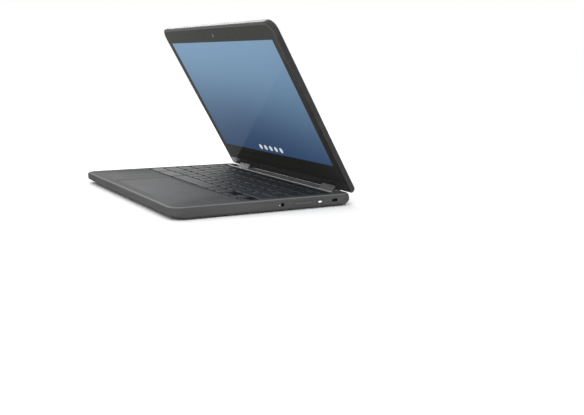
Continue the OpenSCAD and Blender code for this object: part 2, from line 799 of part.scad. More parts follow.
// the area inside the rim, open at the lower edge
module inside_rim(gap) {
  w = inner_w - 2 * gap;
  r = corner_r - rim_w;
  top = lid_h - rim_w - gap;
  points = concat(arc(w / 2 - r, top - r, r, 0, 90, 8), arc(r - w / 2, top - r, r, 90, 180, 8),
                  [[-w / 2, -lid_t], [w / 2, -lid_t]]);
  prism(points, -lid_t, lid_t);
}

module lid_edge_bumper() {
  color("#6a686a") in_lid() difference() {
    lid_block();
    inside_rim(0);
  }
}

module lid_notches() {
  for (side = [-1, 1])
    box(side * barrel_x - barrel_w / 2 - barrel_gap, side * barrel_x + barrel_w / 2 + barrel_gap,
        -lid_t, barrel_r_top + 1.2, -lid_t, lid_t);
}

module lid_back_cover() {
  color("#454547") in_lid() difference() {
    intersection() {
      lid_block();
      inside_rim(0);
    }
    // groove along the rim, on the outer face
    difference() {
      box(-body_w, body_w, -lid_t, lid_h, -lid_t, 0.5 - lid_t / 2);
      inside_rim(0.5);
    }
    // room for the display
    box(-body_w, body_w, glass_s - 0.2, lid_h, 1.5 - lid_t / 2, lid_t);
    // room for the hinge shafts and for the bar that covers them
    box(-notch_in - 0.1, notch_in + 0.1, -1.6, glass_s, 1.5 - lid_t / 2, lid_t);
    box(-notch_in - 0.1, notch_in + 0.1, -lid_t, glass_s, -0.05, lid_t);
    lid_notches();
    translate([badge_u, badge_s, -lid_t / 2 - 1]) cylinder(r = 5.6, h = 1.5, $fn = round_fn);
  }
}

module hinge_cover_bar() {
  color("#3a3a3c") in_lid() difference() {
    intersection() {
      lid_block();
      box(0.4 - notch_in, notch_in - 0.4, -lid_t, glass_s - 0.3, 0.05, lid_t);
    }
    box(1.6 - notch_in, notch_in - 1.6, -1.7, glass_s - 1.5, -1, 2.2);
    box(-notch_in, notch_in, -1.7, 2.2, -1, 2.2);
  }
}

module display_glass() {
  color("#1b1b1c") in_lid() difference() {
    w = inner_w - 0.4;
    r = corner_r - rim_w;
    points = concat(arc(w / 2 - r, glass_top - r, r, 0, 90, 8),
                    arc(r - w / 2, glass_top - r, r, 90, 180, 8),
                    [[-w / 2, glass_s], [w / 2, glass_s]]);
    prism(points, lid_t / 2 - 1.3, lid_t / 2 - 0.2);
    translate([0, camera_s, 0]) cylinder(r = 2.0, h = lid_t, $fn = round_fn);
  }
}

module lcd_panel() {
  color("#3b5a4a") in_lid() {
    box(-screen_w / 2 - 2, screen_w / 2 + 2, screen_s - 6, screen_s + screen_h + 2,
        -1.2, lid_t / 2 - 1.35);
    box(-54, 54, screen_s - 12, screen_s - 6, -1.2, -0.4);
  }
}

module webcam_module() {
  color("#202022") in_lid() {
    box(-14, 14, camera_s - 3, camera_s + 3, -0.6, 0.2);
    translate([0, camera_s, 0.2]) cylinder(r = 2.6, h = lid_t / 2 - 1.6, $fn = round_fn);
    translate([0, camera_s, 1.5]) cylinder(r = 1.8, h = lid_t / 2 - 1.8, $fn = round_fn);
  }
}

module lid_badge() {
  color("#b8b8ba") in_lid()
    translate([badge_u, badge_s, -lid_t / 2 + 0.05]) cylinder(r = 5.4, h = 0.45, $fn = round_fn);
}

module display_cable_lid() {
  color("#303033") in_lid() {
    box(-52, -44, 0, 17, 0.3 - lid_t / 2 + 1.5, 0.6 - lid_t / 2 + 1.5);
    box(-52, -44, 17, 20, 0.3 - lid_t / 2 + 1.5, -1.2);
  }
}

module wifi_antennas() {
  color("#c9c4b4") in_lid() for (side = [-1, 1])
    box(side * 80 - 22, side * 80 + 22, screen_s + screen_h + 4, lid_h - 8,
        1.55 - lid_t / 2, -0.8);
}

bottom_cover();
keyboard_deck();
rubber_feet();
cover_screws();
keyboard_backplate();
key_dome_sheet();
mainboard();
heat_spreader();
battery_pack();
speakers();
audio_jack();
side_button_board();
side_board_ribbon();
usb_c_port();
usb_a_port();
hdmi_port();
card_slot();
wifi_card();
touchpad_support();
lock_slot_insert();
status_light();
hinge_base_brackets();
display_cable_base();
touchpad();
power_button();
volume_rocker();
keys_function_row();
keys_number_row();
keys_upper_row();
keys_home_row();
keys_lower_row();
key_backspace();
key_tab();
key_search();
key_enter();
key_shift_left();
key_shift_right();
key_ctrl_left();
key_alt_left();
key_space();
keys_alt_ctrl_right();
key_arrow_left();
key_arrow_up();
key_arrow_down();
key_arrow_right();
hinge_barrel_left();
hinge_barrel_right();
hinge_link_plates();
idler_gears_lower();
idler_gears_upper();
lid_back_cover();
lid_edge_bumper();
display_glass();
lcd_panel();
webcam_module();
hinge_lid_brackets();
hinge_cover_bar();
lid_badge();
display_cable_lid();
wifi_antennas();
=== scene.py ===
"""Looks of a convertible laptop computer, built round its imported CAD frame."""

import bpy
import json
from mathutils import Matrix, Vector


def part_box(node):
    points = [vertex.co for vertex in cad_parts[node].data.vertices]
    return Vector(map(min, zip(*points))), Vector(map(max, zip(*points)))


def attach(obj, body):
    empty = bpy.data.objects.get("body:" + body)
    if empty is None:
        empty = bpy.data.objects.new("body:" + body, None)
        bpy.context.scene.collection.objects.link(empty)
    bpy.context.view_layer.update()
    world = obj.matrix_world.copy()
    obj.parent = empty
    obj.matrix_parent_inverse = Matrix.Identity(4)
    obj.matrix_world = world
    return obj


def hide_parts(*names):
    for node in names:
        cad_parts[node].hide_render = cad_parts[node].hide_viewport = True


bl_info = {
    "name": "Convertible Laptop Looks",
    "version": (1, 0, 0),
    "blender": (4, 5, 0),
    "location": "View3D > Sidebar > Laptop",
    "description": "Shells, keys, display and studio of a convertible laptop",
    "category": "Add Mesh",
}

import json
import math

import bmesh
import bpy
from bpy.props import FloatProperty, FloatVectorProperty, PointerProperty
from mathutils import Matrix, Vector

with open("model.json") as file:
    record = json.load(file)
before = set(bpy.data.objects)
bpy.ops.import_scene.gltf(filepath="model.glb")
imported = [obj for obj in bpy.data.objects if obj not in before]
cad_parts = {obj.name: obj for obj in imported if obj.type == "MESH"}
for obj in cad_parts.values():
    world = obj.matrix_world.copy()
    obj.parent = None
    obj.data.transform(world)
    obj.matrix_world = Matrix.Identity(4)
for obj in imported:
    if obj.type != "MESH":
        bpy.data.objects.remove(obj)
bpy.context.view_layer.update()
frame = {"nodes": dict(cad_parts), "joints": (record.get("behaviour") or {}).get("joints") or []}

MM = 0.001
JOINTS = {joint["name"]: joint for joint in frame["joints"]}

# ---------------------------------------------------------------------------
# places taken from the frame
# ---------------------------------------------------------------------------


def joint_place(name):
    """Where a hinge joint's axis is at rest."""
    return Vector(JOINTS[name]["pos_m"])


AXIS_LOW = joint_place("hinge_lower_turn")
AXIS_TOP = joint_place("hinge_upper_turn")
# each of the two axes takes half of the lid's opening, and the range starts at closed
LID_OPENING = math.radians(-2 * JOINTS["hinge_lower_turn"]["range_deg"][0])

LID_UP = Vector((0, -math.cos(LID_OPENING), math.sin(LID_OPENING)))
LID_OUT = Vector((0, -math.sin(LID_OPENING), -math.cos(LID_OPENING)))
LID_FRAME = Matrix((
    (1, 0, 0, AXIS_TOP.x),
    (0, LID_UP.y, LID_OUT.y, AXIS_TOP.y),
    (0, LID_UP.z, LID_OUT.z, AXIS_TOP.z),
    (0, 0, 0, 1),
))

DECK_LOW, DECK_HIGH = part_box("keyboard_deck")
BASE_MIDDLE_Y = (DECK_LOW.y + DECK_HIGH.y) / 2
PAD_LOW, PAD_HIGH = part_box("touchpad")
PAD_DEPTH = 62.6 * MM

# the hollow round the keys, a little larger than the plate on its floor; the deck is painted
# near black there as shade under the keys
PLATE_LOW, PLATE_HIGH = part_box("keyboard_backplate")
WELL_HALF_WIDTH = 137 * MM
WELL_FRONT = PLATE_LOW.y - 0.4 * MM
WELL_REAR = PLATE_HIGH.y + 1.2 * MM

# the ridge across the deck between the keys and the hinges, coloured pale grey as a painted
# highlight
RIDGE_WIDTH = 257 * MM
RIDGE_DEPTH = 1.2 * MM
RIDGE_Y = WELL_REAR + 2.6 * MM

# the lip between the barrels, a near-black strip that stands in for the shade in the hinge gap,
# stays inside the sweep of the lid's lower edge
LIP_WIDTH = 174 * MM
LIP_DEPTH = 1.2 * MM
LIP_BACK = 1.6 * MM
LIP_RISE = 6.85 * MM

# the side walls behind the ports, painted near black there as shade: height, and reach from
# front to rear
PORT_WALL_INSET = 0.8 * MM
PORT_WALL_LOW, PORT_WALL_HIGH = 5.4 * MM, 9.2 * MM
PORT_WALL_FRONT, PORT_WALL_REAR = -22 * MM, 92 * MM


def local_box(node, matrix):
    """Lowest and highest corner of a CAD node in another frame at rest."""
    back = matrix.inverted()
    points = [back @ vertex.co for vertex in frame["nodes"][node].data.vertices]
    low = Vector([min(point[axis] for point in points) for axis in range(3)])
    high = Vector([max(point[axis] for point in points) for axis in range(3)])
    return low, high


PANEL_LOW, PANEL_HIGH = local_box("lcd_panel", LID_FRAME)

# the lit area of the display panel
SCREEN_MARGIN = 2 * MM
SCREEN_HEIGHT = 150 * MM
SCREEN_SHAPE = 16 / 9


# ---------------------------------------------------------------------------
# settings that a user would change
# ---------------------------------------------------------------------------


class LaptopColours(bpy.types.PropertyGroup):
    """Colours of the finishes."""

    deck: FloatVectorProperty(
        name="Deck", description="Charcoal plastic of the keyboard deck",
        subtype="COLOR", size=3, default=(0.070, 0.070, 0.071), min=0, max=1)
    cover: FloatVectorProperty(
        name="Bottom cover", description="Dark plastic of the bottom cover",
        subtype="COLOR", size=3, default=(0.030, 0.030, 0.031), min=0, max=1)
    keys: FloatVectorProperty(
        name="Keys", description="Near-black plastic of the key caps",
        subtype="COLOR", size=3, default=(0.017, 0.017, 0.018), min=0, max=1)
    legend: FloatVectorProperty(
        name="Legends", description="Grey print on the key caps",
        subtype="COLOR", size=3, default=(0.24, 0.24, 0.25), min=0, max=1)
    pad: FloatVectorProperty(
        name="Touchpad", description="Smooth surface of the touchpad",
        subtype="COLOR", size=3, default=(0.074, 0.074, 0.075), min=0, max=1)
    lid: FloatVectorProperty(
        name="Lid shell", description="Dark grey plastic of the lid's outer face",
        subtype="COLOR", size=3, default=(0.032, 0.032, 0.034), min=0, max=1)
    rim: FloatVectorProperty(
        name="Lid rim", description="Soft grey elastomer round the lid",
        subtype="COLOR", size=3, default=(0.015, 0.015, 0.016), min=0, max=1)
    bezel: FloatVectorProperty(
        name="Bezel", description="Black border printed behind the display glass",
        subtype="COLOR", size=3, default=(0.034, 0.034, 0.032), min=0, max=1)


class LaptopSizes(bpy.types.PropertyGroup):
    """Sizes of the details that the CAD frame leaves plain."""

    key_edge: FloatProperty(
        name="Key edge", description="Rounding of a key cap's upper edge",
        subtype="DISTANCE", unit="LENGTH", default=0.45 * MM, min=0.1 * MM, max=1 * MM)
    key_dish: FloatProperty(
        name="Key dish", description="Depth of the hollow in a key cap",
        subtype="DISTANCE", unit="LENGTH", default=0.12 * MM, min=0, max=0.3 * MM)
    legend_height: FloatProperty(
        name="Legend height", description="Height of a capital letter on a key cap",
        subtype="DISTANCE", unit="LENGTH", default=3.0 * MM, min=2 * MM, max=5 * MM)
    pad_edge: FloatProperty(
        name="Touchpad edge", description="Chamfer round the touchpad",
        subtype="DISTANCE", unit="LENGTH", default=0.35 * MM, min=0.1 * MM, max=0.6 * MM)


class LaptopStage(bpy.types.PropertyGroup):
    """Floor, lights and camera."""

    floor_tone: FloatProperty(
        name="Floor tone", description="Lightness of the studio floor",
        default=0.96, min=0.5, max=1)
    horizon: FloatProperty(
        name="Horizon", description="Brightness of the white room round the floor",
        default=1.0, min=0, max=2)
    overhead: FloatProperty(
        name="Overhead", description="Brightness of the ceiling above the laptop",
        default=1.02, min=0, max=2)
    shade: FloatProperty(
        name="Shade", description="Brightness of the walls between horizon and ceiling",
        default=0.72, min=0, max=2)
    side_light: FloatProperty(
        name="Side light", description="Power of the softbox at the laptop's left",
        subtype="POWER", unit="POWER", default=22.0, min=0)
    front_light: FloatProperty(
        name="Front light", description="Power of the softbox in front of the laptop",
        subtype="POWER", unit="POWER", default=4.5, min=0)
    lens: FloatProperty(
        name="Lens", description="Focal length of the camera, in millimetres",
        default=49.57, min=20, max=120)
    yaw: FloatProperty(
        name="Yaw", description="Turn of the camera to the left of straight ahead",
        subtype="ANGLE", unit="ROTATION", default=math.radians(60.01))
    pitch: FloatProperty(
        name="Pitch", description="Angle at which the camera looks down",
        subtype="ANGLE", unit="ROTATION", default=math.radians(10.23))
    roll: FloatProperty(
        name="Roll", description="Turn of the camera about its own line of sight",
        subtype="ANGLE", unit="ROTATION", default=math.radians(0.65))
    eye: FloatVectorProperty(
        name="Eye", description="Camera's place from the middle of the deck's surface",
        subtype="TRANSLATION", unit="LENGTH", size=3, default=(0.84742, -0.37799, 0.13669))


# ---------------------------------------------------------------------------
# materials
# ---------------------------------------------------------------------------


class Wire:
    """One shader value, with Python arithmetic that adds Math nodes."""

    def __init__(self, graph, socket):
        self.graph = graph
        self.socket = socket

    def maths(self, operation, *values):
        return self.graph.node("ShaderNodeMath", {"operation": operation}, values)

    def __add__(self, other):
        return self.maths("ADD", self, other)

    def __radd__(self, other):
        return self.maths("ADD", other, self)

    def __sub__(self, other):
        return self.maths("SUBTRACT", self, other)

    def __rsub__(self, other):
        return self.maths("SUBTRACT", other, self)

    def __mul__(self, other):
        return self.maths("MULTIPLY", self, other)

    def __rmul__(self, other):
        return self.maths("MULTIPLY", other, self)

    def __truediv__(self, other):
        return self.maths("DIVIDE", self, other)

    def __abs__(self):
        return self.maths("ABSOLUTE", self)

    def most(self, other):
        return self.maths("MAXIMUM", self, other)

    def step(self, low, high):
        """0 below low and 1 above high, smooth in between; low may be the larger."""
        reverse = low > high
        first, last = (high, low) if reverse else (low, high)
        outputs = (1.0, 0.0) if reverse else (0.0, 1.0)
        settings = {"interpolation_type": "SMOOTHSTEP"}
        inputs = {"Value": self, "From Min": first, "From Max": last,
                  "To Min": outputs[0], "To Max": outputs[1]}
        return self.graph.node("ShaderNodeMapRange", settings, inputs)


class Graph:
    """A material's node tree with one Principled shader."""

    def __init__(self, name, **sockets):
        self.material = bpy.data.materials.new(name)
        self.material.use_nodes = True
        self.tree = self.material.node_tree
        self.tree.nodes.clear()
        output = self.tree.nodes.new("ShaderNodeOutputMaterial")
        self.shader = self.tree.nodes.new("ShaderNodeBsdfPrincipled")
        self.tree.links.new(self.shader.outputs["BSDF"], output.inputs["Surface"])
        self.set(**sockets)

    @classmethod
    def within(cls, tree, shader=None):
        """Works in a node tree that already stands."""
        graph = cls.__new__(cls)
        graph.tree, graph.shader = tree, shader and tree.nodes[shader]
        return graph

    def recolour(self, change):
        """Puts a change between the base colour's link and its socket."""
        socket = self.shader.inputs["Base Color"]
        self.feed(socket, change(Wire(self, socket.links[0].from_socket)))

    def set(self, **sockets):
        """Sets the shader's sockets; underscores in the names stand for spaces."""
        for name, value in sockets.items():
            self.feed(self.shader.inputs[name.replace("_", " ")], value)

    def feed(self, socket, value):
        if isinstance(value, Wire):
            self.tree.links.new(value.socket, socket)
        elif hasattr(value, "__len__") and len(value) == 3 and socket.type == "RGBA":
            socket.default_value = (*value, 1.0)
        else:
            socket.default_value = value

    def node(self, kind, settings=None, inputs=(), output=None):
        """Adds a node: settings first, then the values or links of its sockets."""
        made = self.tree.nodes.new(kind)
        for name, value in (settings or {}).items():
            if name == "stops":
                self.set_stops(made.color_ramp, value)
            else:
                setattr(made, name, value)
        usable = [socket for socket in made.inputs if socket.enabled]
        if isinstance(inputs, dict):
            by_name = {socket.name: socket for socket in usable}
            pairs = [(by_name[name], value) for name, value in inputs.items()]
        else:
            pairs = list(zip(usable, inputs))
        for socket, value in pairs:
            self.feed(socket, value)
        outputs = [socket for socket in made.outputs if socket.enabled]
        chosen = outputs[0] if output is None else made.outputs[output]
        return Wire(self, chosen)

    @staticmethod
    def set_stops(ramp, stops):
        while len(ramp.elements) > 1:
            ramp.elements.remove(ramp.elements[-1])
        ramp.elements[0].position = stops[0][0]
        ramp.elements[0].color = (*stops[0][1], 1.0)
        for place, colour in stops[1:]:
            ramp.elements.new(place).color = (*colour, 1.0)

    def place(self):
        """Position in the object's own frame, in metres."""
        return self.node("ShaderNodeTexCoord", output="Object")

    def split(self, vector):
        parts = self.node("ShaderNodeSeparateXYZ", inputs=[vector])
        outputs = parts.socket.node.outputs
        return [Wire(self, outputs[axis]) for axis in ("X", "Y", "Z")]

    def join(self, x, y, z=0.0):
        return self.node("ShaderNodeCombineXYZ", inputs=[x, y, z])

    def vector(self, operation, *values, output=None):
        return self.node("ShaderNodeVectorMath", {"operation": operation}, values, output)

    def noise(self, place, scale, detail=3.0, roughness=0.5, warp=0.0):
        inputs = {"Vector": place, "Scale": scale, "Detail": detail,
                  "Roughness": roughness, "Distortion": warp}
        return self.node("ShaderNodeTexNoise", {"noise_dimensions": "3D"}, inputs)

    def cells(self, place, scale):
        return self.node("ShaderNodeTexVoronoi", {"feature": "F1"},
                         {"Vector": place, "Scale": scale}, output="Distance")

    def mix(self, first, second, share):
        """Colour between first and second; share 1 gives the second."""
        inputs = {"Factor": share, "A": first, "B": second}
        return self.node("ShaderNodeMix", {"data_type": "RGBA"}, inputs)

    def bump(self, height, distance):
        inputs = {"Height": height, "Distance": distance, "Strength": 1.0}
        return self.node("ShaderNodeBump", inputs=inputs)


def moulded_plastic(name, colour, roughness, grain=0.35 * MM, depth=0.02 * MM,
                    wear=0.35, specular=0.5):
    """Satin moulded plastic: spark-eroded grain, faint handling marks and pale edges."""
    graph = Graph(name, Specular_IOR_Level=specular)
    place = graph.place()
    fine = graph.noise(place, 1 / grain, detail=2.0, roughness=0.6)
    broad = graph.noise(place, 9.0, detail=4.0, roughness=0.55, warp=0.6)
    smear = graph.noise(graph.vector("MULTIPLY", place, (30.0, 90.0, 60.0)), 1.0, detail=3.0)
    edge = graph.node("ShaderNodeNewGeometry", output="Pointiness").step(0.505, 0.56)
    tone = graph.mix([c * 0.90 for c in colour], [min(1, c * 1.10) for c in colour],
                     broad.step(0.35, 0.65))
    pale = [min(1, c * 1.5 + 0.01) for c in colour]
    tone = graph.mix(tone, pale, edge * wear)
    speck = fine.step(0.62, 0.74) * 0.16
    tone = graph.mix(tone, [min(1, c * 1.45) for c in colour], speck)
    rough = roughness + (smear - 0.5) * 0.10 + (fine - 0.5) * 0.06 - edge * 0.08
    graph.set(Base_Color=tone, Roughness=rough, Normal=graph.bump(fine, depth))
    return graph.material


def soft_rubber(name, colour, roughness=0.62):
    """Elastomer: very fine matt grain with pale patches of dust."""
    graph = Graph(name, Specular_IOR_Level=0.35)
    place = graph.place()
    fine = graph.noise(place, 4200.0, detail=2.0)
    dust = graph.noise(place, 60.0, detail=5.0, roughness=0.65)
    tone = graph.mix(colour, [min(1, c * 1.35 + 0.004) for c in colour], dust.step(0.45, 0.7))
    graph.set(Base_Color=tone, Roughness=roughness + (dust - 0.5) * 0.12,
              Normal=graph.bump(fine, 0.012 * MM))
    return graph.material


def worked_metal(name, colour, roughness):
    """Rolled or turned metal: brush lines along its width and small stains."""
    graph = Graph(name, Metallic=1.0)
    place = graph.place()
    drawn_out = graph.vector("MULTIPLY", place, (1.0, 14.0, 14.0))
    lines = graph.noise(drawn_out, 160.0, detail=4.0)
    stain = graph.noise(place, 55.0, detail=4.0)
    tone = graph.mix([c * 0.78 for c in colour], colour, stain.step(0.35, 0.6))
    graph.set(Base_Color=tone, Roughness=roughness + (lines - 0.5) * 0.18,
              Normal=graph.bump(lines, 0.008 * MM))
    return graph.material


def circuit_board(name, mask):
    """Solder mask with copper traces under it and printed pads."""
    graph = Graph(name, Coat_Weight=0.35, Coat_Roughness=0.2)
    place = graph.place()
    grid = graph.node("ShaderNodeTexBrick", {"offset": 0.37},
                      {"Vector": place, "Scale": 260.0, "Mortar Size": 0.035,
                       "Color1": (0, 0, 0), "Color2": (0, 0, 0), "Mortar": (1, 1, 1)},
                      output="Fac")
    pads = graph.cells(place, 420.0).step(0.22, 0.16)
    tone = graph.mix(mask, [min(1, c * 1.7 + 0.01) for c in mask], grid)
    tone = graph.mix(tone, (0.55, 0.5, 0.36), pads * 0.7)
    graph.set(Base_Color=tone, Roughness=0.42 - pads * 0.1, Metallic=pads * 0.6,
              Normal=graph.bump(grid + pads, 0.02 * MM))
    return graph.material


# ---------------------------------------------------------------------------
# the picture on the display
# ---------------------------------------------------------------------------


def display_places(graph):
    """Position on the lit area: (right, up), each from 0 to 1, as shader values."""
    place = graph.place()
    offset = graph.vector("SUBTRACT", place, tuple(AXIS_TOP))
    up = graph.vector("DOT_PRODUCT", offset, tuple(LID_UP), output="Value")
    right = graph.vector("DOT_PRODUCT", offset, (1.0, 0.0, 0.0), output="Value")
    width = PANEL_HIGH.x - PANEL_LOW.x - 2 * SCREEN_MARGIN
    lower = PANEL_HIGH.y - SCREEN_MARGIN - SCREEN_HEIGHT
    return (right + width / 2) / width, (up - lower) / SCREEN_HEIGHT


def profile(graph, value, *points):
    """Height of a broken line over value, through the (place, height) points."""
    stops = [(place, (height,) * 3) for place, height in points]
    return graph.node("ShaderNodeValToRGB", {"stops": stops}, [value], output="Color")


def plain_picture(graph, u, v):
    """A plain wallpaper: a smooth blue gradient, paler towards the top."""
    sway = graph.noise(graph.join(u * SCREEN_SHAPE, v), 0.8, detail=0.0) - 0.5
    return graph.mix((0.030, 0.060, 0.130), (0.20, 0.33, 0.48),
                     (v + sway * 0.3).step(-0.1, 1.1))


def launcher_dots(graph, tone, u, v):
    """A row of plain round markers in the middle of the lower edge."""
    first, spacing, height = 0.404, 0.048, 0.046
    radius, softness = 0.026, 0.005
    for index in range(5):
        spot = graph.join((u - (first + spacing * index)) * SCREEN_SHAPE, v - height)
        dot = graph.vector("LENGTH", spot, output="Value").step(radius, radius - softness)
        tone = graph.mix(tone, (0.62, 0.66, 0.70), dot)
    return tone


def display_glass_material(colours):
    """Glossy glass: black border, painted lighter towards its top as a highlight, with the lit
    picture behind the middle.
    """
    graph = Graph("display_glass_gloss", Roughness=0.06, Specular_IOR_Level=0.008,
                  Emission_Strength=1.0)
    place = graph.place()
    u, v = display_places(graph)
    edge = 0.0015
    lit = u.step(-edge, edge) * u.step(1 + edge, 1 - edge)
    lit = lit * v.step(-edge, edge) * v.step(1 + edge, 1 - edge)
    picture = launcher_dots(graph, plain_picture(graph, u, v), u, v)
    smear = graph.noise(place, 16.0, detail=5.0, roughness=0.6, warp=0.8)
    # painted highlight: the border is painted 1.35 times lighter towards its top, standing in
    # for the light that falls there
    border = graph.mix(tuple(colours.bezel), [c * 1.35 for c in colours.bezel], v.step(0, 1))
    graph.set(
        Base_Color=graph.mix(border, (0.002, 0.002, 0.002), lit),
        Emission_Color=graph.mix((0.0, 0.0, 0.0), picture, lit),
        Roughness=0.05 + smear.step(0.35, 0.75) * 0.07)
    return graph.material


# ---------------------------------------------------------------------------
# mesh helpers
# ---------------------------------------------------------------------------


def new_piece(name, mesh, material, body, replaced=(), *, smooth=math.radians(32)):
    """Makes an object, gives it its finish and puts it on its body."""
    piece = bpy.data.objects.new(name, mesh)
    bpy.context.scene.collection.objects.link(piece)
    mesh.materials.append(material)
    if smooth:
        mesh.shade_smooth()
        mesh.set_sharp_from_angle(angle=smooth)
    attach(piece, body)
    if replaced:
        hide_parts(*replaced)


def mesh_from(builder, name, matrix=None):
    """Turns a bmesh into a mesh, moved by the matrix if there is one."""
    bmesh.ops.recalc_face_normals(builder, faces=builder.faces)
    if matrix is not None:
        builder.transform(matrix)
    mesh = bpy.data.meshes.new(name)
    builder.to_mesh(mesh)
    builder.free()
    return mesh


def outline(width, depth, radius, steps):
    """Corner-rounded rectangle round (0, 0), anticlockwise."""
    points = []
    for turn, (sx, sy) in enumerate(((1, 1), (-1, 1), (-1, -1), (1, -1))):
        cx, cy = sx * (width / 2 - radius), sy * (depth / 2 - radius)
        for step in range(steps + 1):
            angle = math.pi / 2 * (turn + step / steps)
            points.append(Vector((cx + radius * math.cos(angle),
                                  cy + radius * math.sin(angle), 0)))
    return points


def loft(builder, rings):
    """Joins rings of equal length with quads and closes both ends."""
    made = [[builder.verts.new(point) for point in ring] for ring in rings]
    for lower, upper in zip(made, made[1:]):
        count = len(lower)
        for index in range(count):
            after = (index + 1) % count
            builder.faces.new((lower[index], lower[after], upper[after], upper[index]))
    builder.faces.new(list(reversed(made[0])))
    builder.faces.new(made[-1])


def quarter(radius, steps):
    """(inset, drop) pairs of a rounded edge, from the side up to the top."""
    pairs = []
    for step in range(steps + 1):
        angle = math.pi / 2 * step / steps
        pairs.append((radius * (1 - math.cos(angle)), radius * (1 - math.sin(angle))))
    return pairs


def rounded_slab(builder, centre, width, depth, radius, low, high, edge, corner_steps=6,
                 edge_steps=3, dish=0.0):
    """A flat block with rounded corners and a rounded upper edge, perhaps dished."""
    def ring(inset, z):
        corner = max(radius - inset, radius * 0.2)
        return [point + Vector((centre.x, centre.y, z))
                for point in outline(width - 2 * inset, depth - 2 * inset, corner,
                                     corner_steps)]
    rings = [ring(0, low)]
    rings += [ring(inset, high - drop) for inset, drop in quarter(edge, edge_steps)]
    if dish:
        half = min(width, depth) / 2
        for share in (0.30, 0.62, 0.88):
            rings.append(ring(edge + (half - edge) * share * 0.9, high - dish * share ** 0.5))
    loft(builder, rings)


def islands(node):
    """Lowest and highest corners of a CAD node's separate solids, from left to right."""
    builder = bmesh.new()
    builder.from_mesh(frame["nodes"][node].data)
    bmesh.ops.remove_doubles(builder, verts=builder.verts, dist=1e-6)
    boxes, left = [], set(builder.verts)
    while left:
        stack, found = [left.pop()], []
        while stack:
            vertex = stack.pop()
            found.append(vertex.co.copy())
            for link in vertex.link_edges:
                other = link.other_vert(vertex)
                if other in left:
                    left.remove(other)
                    stack.append(other)
        low = Vector([min(point[axis] for point in found) for axis in range(3)])
        high = Vector([max(point[axis] for point in found) for axis in range(3)])
        boxes.append((low, high))
    builder.free()
    return sorted(boxes, key=lambda pair: (pair[0] + pair[1]).x)


# ---------------------------------------------------------------------------
# operators
# ---------------------------------------------------------------------------


class LAPTOP_OT_shells(bpy.types.Operator):
    """Give the shells of the base and of the lid their moulded finishes"""

    bl_idname = "laptop.shells"
    bl_label = "Base and Lid Shells"

    def execute(self, context):
        colours = context.scene.laptop_colours
        finishes = {
            "keyboard_deck": deck_material(colours),
            "bottom_cover": moulded_plastic("cover_grain", tuple(colours.cover), 0.55,
                                            grain=0.55 * MM, depth=0.035 * MM),
            "lid_back_cover": moulded_plastic("lid_satin", tuple(colours.lid), 0.40,
                                              grain=0.32 * MM, depth=0.014 * MM),
            "hinge_cover_bar": moulded_plastic("bar_satin", tuple(colours.lid), 0.36,
                                               grain=0.32 * MM, depth=0.010 * MM),
            "lid_edge_bumper": soft_rubber("rim_elastomer", tuple(colours.rim), 0.46),
        }
        for node, material in finishes.items():
            dress(node, material)
        return {"FINISHED"}


def deck_material(colours):
    """Satin charcoal, painted near black as shade under the keys and behind the ports, and
    painted pale at its edge as a highlight.
    """
    colour = tuple(colours.deck)
    material = moulded_plastic("deck_satin_painted_light", colour, 0.56, grain=0.30 * MM, depth=0.012 * MM,
                               specular=0.01)
    graph = Graph.within(material.node_tree, "Principled BSDF")
    x, y, z = graph.split(graph.place())
    top, edge = DECK_HIGH.z, 0.2 * MM
    # painted shade: the floor and walls of the key hollow, under the keys, are darkened as if
    # shaded
    under_key_shade = z.step(top - 0.30 * MM, top - 0.75 * MM)
    under_key_shade = under_key_shade * z.step(top - 6 * MM, top - 5 * MM)
    under_key_shade = under_key_shade * (abs(x) - WELL_HALF_WIDTH).step(edge, 0)
    under_key_shade = under_key_shade * (y - WELL_REAR).step(edge, 0) * (y - WELL_FRONT).step(-edge, 0)
    # painted shade: the inner faces behind the port openings are painted near black as shade
    inner = DECK_HIGH.x - PORT_WALL_INSET
    wall = abs(x).step(inner, inner - edge / 2)
    wall = wall * z.step(PORT_WALL_LOW, PORT_WALL_LOW + edge)
    wall = wall * z.step(PORT_WALL_HIGH, PORT_WALL_HIGH - edge)
    wall = wall * y.step(PORT_WALL_FRONT, PORT_WALL_FRONT + 2 * MM)
    wall = wall * y.step(PORT_WALL_REAR, PORT_WALL_REAR - 2 * MM)
    # painted highlight: a pale band along the deck's rounded top edge, where the edge would
    # catch the light
    chamfer = z.step(top - 1.0 * MM, top - 0.55 * MM)
    chamfer = chamfer * z.step(top - 0.02 * MM, top - 0.25 * MM)
    # pale is the painted highlight's colour, dark the painted shade's colour
    pale, dark = tuple(min(1, 3.0 * c) for c in colour), (0.008, 0.008, 0.008)
    # the painted highlight is mixed in first, then the painted shade over it
    graph.recolour(lambda tone: graph.mix(graph.mix(tone, pale, chamfer * 0.7), dark,
                                          under_key_shade.most(wall)))
    return material


def dress(node, material):
    """Gives a CAD node its material and smooth shading between shallow facets."""
    mesh = frame["nodes"][node].data
    mesh.materials.clear()
    mesh.materials.append(material)
    mesh.shade_smooth()
    mesh.set_sharp_from_angle(angle=math.radians(35))


class LAPTOP_OT_keys(bpy.types.Operator):
    """Build the dished key caps, each riding with its own key or row"""

    bl_idname = "laptop.keys"
    bl_label = "Key Caps"

    def execute(self, context):
        sizes, colours = context.scene.laptop_sizes, context.scene.laptop_colours
        material = moulded_plastic("key_cap_matt", tuple(colours.keys), 0.54,
                                   grain=0.22 * MM, depth=0.012 * MM, wear=0.9, specular=0.2)
        for node in key_nodes():
            builder = bmesh.new()
            for low, high in islands(node):
                centre = (low + high) / 2
                rounded_slab(builder, centre, high.x - low.x, high.y - low.y, 1.8 * MM,
                             high.z - 1.4 * MM, high.z, sizes.key_edge, dish=sizes.key_dish)
            new_piece(node + "_caps", mesh_from(builder, node), material, node, [node])
        return {"FINISHED"}


def key_nodes():
    """Names of the CAD nodes that are key caps."""
    return [name for name in frame["nodes"] if name.startswith(("key_", "keys_"))
            and name != "key_dome_sheet"]


